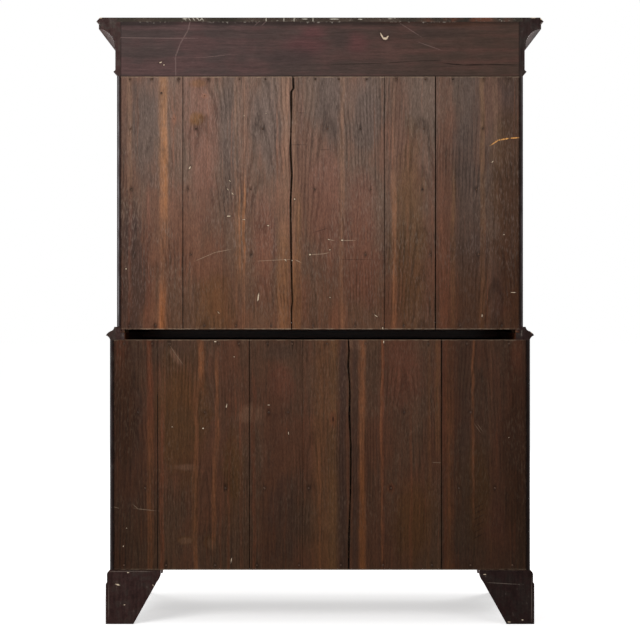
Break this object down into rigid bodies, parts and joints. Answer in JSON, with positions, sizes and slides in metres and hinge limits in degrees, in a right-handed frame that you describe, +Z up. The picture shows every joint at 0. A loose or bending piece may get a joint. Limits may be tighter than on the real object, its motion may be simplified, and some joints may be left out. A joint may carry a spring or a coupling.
{
  "type": "chest on chest",
  "caption": "Tall two-part chest of drawers: an upper case with a cove cornice lifts off a wider lower case on bracket feet; plank back, cockbeaded drawers with swinging bail handles.",
  "frame": {"origin": "middle of the overall box, on the floor", "axes": "+Z up, the drawers face -Y and the back boards face +Y, +X to the right of someone who faces the drawers"},
  "size_m": [1.278, 0.599, 1.7333],
  "materials": {
    "mahogany": "old polished mahogany, darkened, satin",
    "back_pine": "old dry pine back boards stained brown by age, with orange sapwood streaks, matt",
    "back_rail": "dark stained pine, matt, scuffed",
    "pine": "unfinished aged pine, dusty, matt",
    "oak": "unfinished quarter-sawn oak drawer linings, matt",
    "brass": "old lacquered brass, darkened in the hollows"
  },
  "bodies": {
    "lower_case": {"lower_side_left": "mahogany", "lower_side_right": "mahogany", "lower_top_board": "pine", "lower_bottom_board": "pine", "lower_drawer_rails": "mahogany", "lower_runners_and_dust_boards": "pine", "lower_back_boards": "back_pine", "waist_moulding": "mahogany", "base_moulding": "mahogany", "bracket_feet": "mahogany"},
    "upper_case": {"upper_side_left": "mahogany", "upper_side_right": "mahogany", "upper_top_board": "pine", "upper_bottom_board": "pine", "upper_drawer_rails": "mahogany", "upper_runners_and_dust_boards": "pine", "upper_back_boards": "back_pine", "cornice_back_rail": "back_rail", "cornice_moulding": "mahogany", "frieze": "mahogany"},
    "first_right_drawer": {"first_right_drawer_front": "mahogany", "first_right_drawer_box": "oak", "first_right_drawer_brasses": "brass"},
    "first_right_drawer_bail_left": {"first_right_drawer_bail_left": "brass"},
    "first_right_drawer_bail_right": {"first_right_drawer_bail_right": "brass"},
    "first_left_drawer": {"first_left_drawer_front": "mahogany", "first_left_drawer_box": "oak", "first_left_drawer_brasses": "brass"},
    "first_left_drawer_bail_left": {"first_left_drawer_bail_left": "brass"},
    "first_left_drawer_bail_right": {"first_left_drawer_bail_right": "brass"},
    "second_drawer": {"second_drawer_front": "mahogany", "second_drawer_box": "oak", "second_drawer_brasses": "brass"},
    "second_drawer_bail_left": {"second_drawer_bail_left": "brass"},
    "second_drawer_bail_right": {"second_drawer_bail_right": "brass"},
    "third_drawer": {"third_drawer_front": "mahogany", "third_drawer_box": "oak", "third_drawer_brasses": "brass"},
    "third_drawer_bail_left": {"third_drawer_bail_left": "brass"},
    "third_drawer_bail_right": {"third_drawer_bail_right": "brass"},
    "fourth_drawer": {"fourth_drawer_front": "mahogany", "fourth_drawer_box": "oak", "fourth_drawer_brasses": "brass"},
    "fourth_drawer_bail_left": {"fourth_drawer_bail_left": "brass"},
    "fourth_drawer_bail_right": {"fourth_drawer_bail_right": "brass"},
    "fifth_drawer": {"fifth_drawer_front": "mahogany", "fifth_drawer_box": "oak", "fifth_drawer_brasses": "brass"},
    "fifth_drawer_bail_left": {"fifth_drawer_bail_left": "brass"},
    "fifth_drawer_bail_right": {"fifth_drawer_bail_right": "brass"},
    "sixth_drawer": {"sixth_drawer_front": "mahogany", "sixth_drawer_box": "oak", "sixth_drawer_brasses": "brass"},
    "sixth_drawer_bail_left": {"sixth_drawer_bail_left": "brass"},
    "sixth_drawer_bail_right": {"sixth_drawer_bail_right": "brass"},
    "seventh_drawer": {"seventh_drawer_front": "mahogany", "seventh_drawer_box": "oak", "seventh_drawer_brasses": "brass"},
    "seventh_drawer_bail_left": {"seventh_drawer_bail_left": "brass"},
    "seventh_drawer_bail_right": {"seventh_drawer_bail_right": "brass"}
  },
  "joints": [
    {"name": "upper_case_lift", "type": "slide", "parent": "lower_case", "child": "upper_case", "axis": [0, 0, 1], "range_m": [0, 0.12]},
    {"name": "first_right_drawer_slide", "type": "slide", "parent": "upper_case", "child": "first_right_drawer", "axis": [0, -1, 0], "range_m": [0, 0.38]},
    {"name": "first_right_drawer_bail_left_swing", "type": "hinge", "parent": "first_right_drawer", "child": "first_right_drawer_bail_left", "pos_m": [0.135, -0.2565, 1.4925], "axis": [-1, 0, 0], "range_deg": [-12, 105]},
    {"name": "first_right_drawer_bail_right_swing", "type": "hinge", "parent": "first_right_drawer", "child": "first_right_drawer_bail_right", "pos_m": [0.435, -0.2565, 1.4925], "axis": [-1, 0, 0], "range_deg": [-12, 105]},
    {"name": "first_left_drawer_slide", "type": "slide", "parent": "upper_case", "child": "first_left_drawer", "axis": [0, -1, 0], "range_m": [0, 0.38]},
    {"name": "first_left_drawer_bail_left_swing", "type": "hinge", "parent": "first_left_drawer", "child": "first_left_drawer_bail_left", "pos_m": [-0.435, -0.2565, 1.4925], "axis": [-1, 0, 0], "range_deg": [-12, 105]},
    {"name": "first_left_drawer_bail_right_swing", "type": "hinge", "parent": "first_left_drawer", "child": "first_left_drawer_bail_right", "pos_m": [-0.135, -0.2565, 1.4925], "axis": [-1, 0, 0], "range_deg": [-12, 105]},
    {"name": "second_drawer_slide", "type": "slide", "parent": "upper_case", "child": "second_drawer", "axis": [0, -1, 0], "range_m": [0, 0.38]},
    {"name": "second_drawer_bail_left_swing", "type": "hinge", "parent": "second_drawer", "child": "second_drawer_bail_left", "pos_m": [-0.34, -0.2565, 1.3275], "axis": [-1, 0, 0], "range_deg": [-12, 105]},
    {"name": "second_drawer_bail_right_swing", "type": "hinge", "parent": "second_drawer", "child": "second_drawer_bail_right", "pos_m": [0.34, -0.2565, 1.3275], "axis": [-1, 0, 0], "range_deg": [-12, 105]},
    {"name": "third_drawer_slide", "type": "slide", "parent": "upper_case", "child": "third_drawer", "axis": [0, -1, 0], "range_m": [0, 0.38]},
    {"name": "third_drawer_bail_left_swing", "type": "hinge", "parent": "third_drawer", "child": "third_drawer_bail_left", "pos_m": [-0.34, -0.2565, 1.1505], "axis": [-1, 0, 0], "range_deg": [-12, 105]},
    {"name": "third_drawer_bail_right_swing", "type": "hinge", "parent": "third_drawer", "child": "third_drawer_bail_right", "pos_m": [0.34, -0.2565, 1.1505], "axis": [-1, 0, 0], "range_deg": [-12, 105]},
    {"name": "fourth_drawer_slide", "type": "slide", "parent": "upper_case", "child": "fourth_drawer", "axis": [0, -1, 0], "range_m": [0, 0.38]},
    {"name": "fourth_drawer_bail_left_swing", "type": "hinge", "parent": "fourth_drawer", "child": "fourth_drawer_bail_left", "pos_m": [-0.34, -0.2565, 0.961], "axis": [-1, 0, 0], "range_deg": [-12, 105]},
    {"name": "fourth_drawer_bail_right_swing", "type": "hinge", "parent": "fourth_drawer", "child": "fourth_drawer_bail_right", "pos_m": [0.34, -0.2565, 0.961], "axis": [-1, 0, 0], "range_deg": [-12, 105]},
    {"name": "fifth_drawer_slide", "type": "slide", "parent": "lower_case", "child": "fifth_drawer", "axis": [0, -1, 0], "range_m": [0, 0.4]},
    {"name": "fifth_drawer_bail_left_swing", "type": "hinge", "parent": "fifth_drawer", "child": "fifth_drawer_bail_left", "pos_m": [-0.34, -0.2765, 0.7142], "axis": [-1, 0, 0], "range_deg": [-12, 105]},
    {"name": "fifth_drawer_bail_right_swing", "type": "hinge", "parent": "fifth_drawer", "child": "fifth_drawer_bail_right", "pos_m": [0.34, -0.2765, 0.7142], "axis": [-1, 0, 0], "range_deg": [-12, 105]},
    {"name": "sixth_drawer_slide", "type": "slide", "parent": "lower_case", "child": "sixth_drawer", "axis": [0, -1, 0], "range_m": [0, 0.4]},
    {"name": "sixth_drawer_bail_left_swing", "type": "hinge", "parent": "sixth_drawer", "child": "sixth_drawer_bail_left", "pos_m": [-0.34, -0.2765, 0.5082], "axis": [-1, 0, 0], "range_deg": [-12, 105]},
    {"name": "sixth_drawer_bail_right_swing", "type": "hinge", "parent": "sixth_drawer", "child": "sixth_drawer_bail_right", "pos_m": [0.34, -0.2765, 0.5082], "axis": [-1, 0, 0], "range_deg": [-12, 105]},
    {"name": "seventh_drawer_slide", "type": "slide", "parent": "lower_case", "child": "seventh_drawer", "axis": [0, -1, 0], "range_m": [0, 0.4]},
    {"name": "seventh_drawer_bail_left_swing", "type": "hinge", "parent": "seventh_drawer", "child": "seventh_drawer_bail_left", "pos_m": [-0.34, -0.2765, 0.2902], "axis": [-1, 0, 0], "range_deg": [-12, 105]},
    {"name": "seventh_drawer_bail_right_swing", "type": "hinge", "parent": "seventh_drawer", "child": "seventh_drawer_bail_right", "pos_m": [0.34, -0.2765, 0.2902], "axis": [-1, 0, 0], "range_deg": [-12, 105]}
  ]
}
